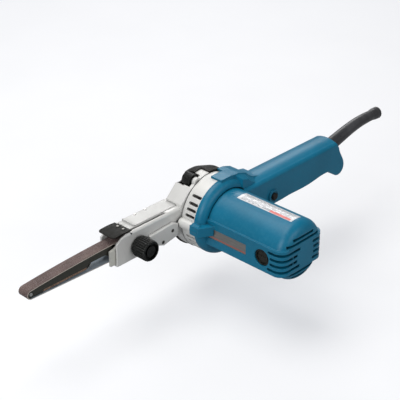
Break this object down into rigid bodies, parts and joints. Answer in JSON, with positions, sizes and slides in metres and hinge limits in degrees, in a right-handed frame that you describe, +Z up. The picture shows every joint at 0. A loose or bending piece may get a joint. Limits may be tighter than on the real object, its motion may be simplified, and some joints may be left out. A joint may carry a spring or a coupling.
{
  "type": "handheld belt sander",
  "caption": "Handheld finger belt sander: slim swinging sanding arm, cross-mounted motor barrel and rear grip with cord.",
  "frame": {"origin": "at the barrel_side mount: the centre of the flat band on the grip side of the motor barrel. The motor and drive wheel axis runs along Y at x -32.3 mm, z 3.2 mm, and the belt's mid plane is at y 85 mm", "axes": "+X from the nose along the belt arm to the grip, -Y along the motor barrel, +Z up"},
  "size_m": [0.504, 0.1545, 0.0902],
  "materials": {
    "blue_housing": "satin moulded plastic",
    "alloy_casting": "bead-blasted casting",
    "alloy_cover": "satin",
    "black_plastic": "matt moulded",
    "black_knob": "knurled",
    "black_steel": "blackened sheet",
    "arm_steel": "dark phosphated steel",
    "bright_steel": "brushed",
    "screw_steel": "machined",
    "dark_screw": "blackened",
    "grit_belt": "coated abrasive",
    "shoe_cork": "graphite cork",
    "holder_casting": "cast",
    "bearing_steel": "ground",
    "lamination": "laminated",
    "copper": "enamelled wire",
    "commutator_copper": "turned",
    "brass": "drawn",
    "carbon": "carbon",
    "fan_plastic": "moulded",
    "badge": "printed plate",
    "label": "printed film",
    "rubber_guard": "moulded rubber",
    "cord_rubber": "cord sheath",
    "black_cap": "moulded phenolic"
  },
  "bodies": {
    "motor": {"motor_housing": "blue_housing", "gear_housing": "alloy_casting", "housing_screws": "screw_steel", "front_bearing": "bearing_steel", "rear_bearing": "bearing_steel", "field_core": "lamination", "field_coils": "copper", "grip_cover": "blue_housing", "grip_screws": "screw_steel", "badge_plate": "badge", "rating_label": "label", "brush_caps": "black_cap", "brush_holders": "brass", "carbon_brushes": "carbon", "brush_springs": "bright_steel", "switch_body": "black_plastic", "trigger_pin": "bright_steel", "trigger_spring": "bright_steel", "lock_spring": "bright_steel", "cord_guard": "rubber_guard", "power_cord": "cord_rubber"},
    "armature": {"armature_shaft": "bright_steel", "armature_core": "lamination", "armature_windings": "copper", "commutator": "commutator_copper", "cooling_fan": "fan_plastic", "drive_wheel": "bright_steel", "wheel_nut": "screw_steel"},
    "arm": {"arm_housing": "alloy_casting", "top_cover": "alloy_cover", "front_step_plate": "alloy_cover", "cover_screws": "screw_steel", "side_bracket": "alloy_casting", "bracket_screws": "dark_screw", "lever_pin": "bright_steel", "abrasive_belt": "grit_belt"},
    "cover": {"pulley_cover": "black_plastic", "pulley_cover_screw": "screw_steel"},
    "holder": {"arm_holder": "holder_casting", "tension_spring": "bright_steel"},
    "blade": {"arm_blade": "arm_steel", "idler_pin": "bright_steel", "shoe_pad": "shoe_cork", "shoe_strip": "bright_steel", "release_link": "bright_steel"},
    "idler": {"idler_roller": "bright_steel"},
    "lever": {"release_lever": "black_steel", "lever_rivets": "bright_steel"},
    "tracking": {"tracking_knob": "black_knob", "tracking_screw": "screw_steel"},
    "lock": {"swing_lock_knob": "black_knob", "swing_lock_screw": "screw_steel"},
    "trigger": {"trigger": "black_plastic"},
    "button": {"lock_button": "black_plastic"}
  },
  "joints": [
    {"name": "armature_spin", "type": "hinge", "parent": "motor", "child": "armature", "pos_m": [-0.0323, 0.025, 0.0032], "axis": [0, 1, 0], "continuous": true},
    {"name": "arm_swing", "type": "hinge", "parent": "motor", "child": "arm", "pos_m": [-0.0323, 0.085, 0.0032], "axis": [0, 1, 0], "range_deg": [-20, 60]},
    {"name": "cover_lift_off", "type": "slide", "parent": "arm", "child": "cover", "axis": [0, 1, 0], "range_m": [0, 0.05]},
    {"name": "holder_yaw", "type": "hinge", "parent": "arm", "child": "holder", "pos_m": [-0.1293, 0.085, 0.0032], "axis": [0, 0, 1], "range_deg": [-0.81, 0.81]},
    {"name": "blade_slide", "type": "slide", "parent": "holder", "child": "blade", "axis": [1, 0, 0], "range_m": [0, 0.005], "deforming": ["tension_spring"]},
    {"name": "idler_spin", "type": "hinge", "parent": "blade", "child": "idler", "pos_m": [-0.2605, 0.085, 0.0027], "axis": [0, 1, 0], "continuous": true},
    {"name": "lever_lift", "type": "hinge", "parent": "arm", "child": "lever", "pos_m": [-0.1411, 0.085, 0.0189], "axis": [0, 1, 0], "range_deg": [0, 30.5]},
    {"name": "tracking_turn", "type": "hinge", "parent": "arm", "child": "tracking", "pos_m": [-0.1323, 0.065, 0.0022], "axis": [0, 1, 0], "range_deg": [-180, 180]},
    {"name": "swing_lock_turn", "type": "hinge", "parent": "arm", "child": "lock", "pos_m": [-0.0493, 0.08, 0.0402], "axis": [0, 1, 0], "range_deg": [-180, 180]},
    {"name": "trigger_press", "type": "hinge", "parent": "motor", "child": "trigger", "pos_m": [0.0387, 0.054, -0.0014], "axis": [0, 1, 0], "range_deg": [0, 6], "deforming": ["trigger_spring"]},
    {"name": "lock_button_press", "type": "slide", "parent": "motor", "child": "button", "axis": [0, 1, 0], "range_m": [0, 0.0025], "deforming": ["lock_spring"]}
  ],
  "couplings": [
    {"joint": "idler_spin", "follows": "armature_spin", "ratio": 3},
    {"joint": "lever_lift", "follows": "blade_slide", "rad_per_m": 104.72},
    {"joint": "holder_yaw", "follows": "tracking_turn", "ratio": 0.004444}
  ]
}
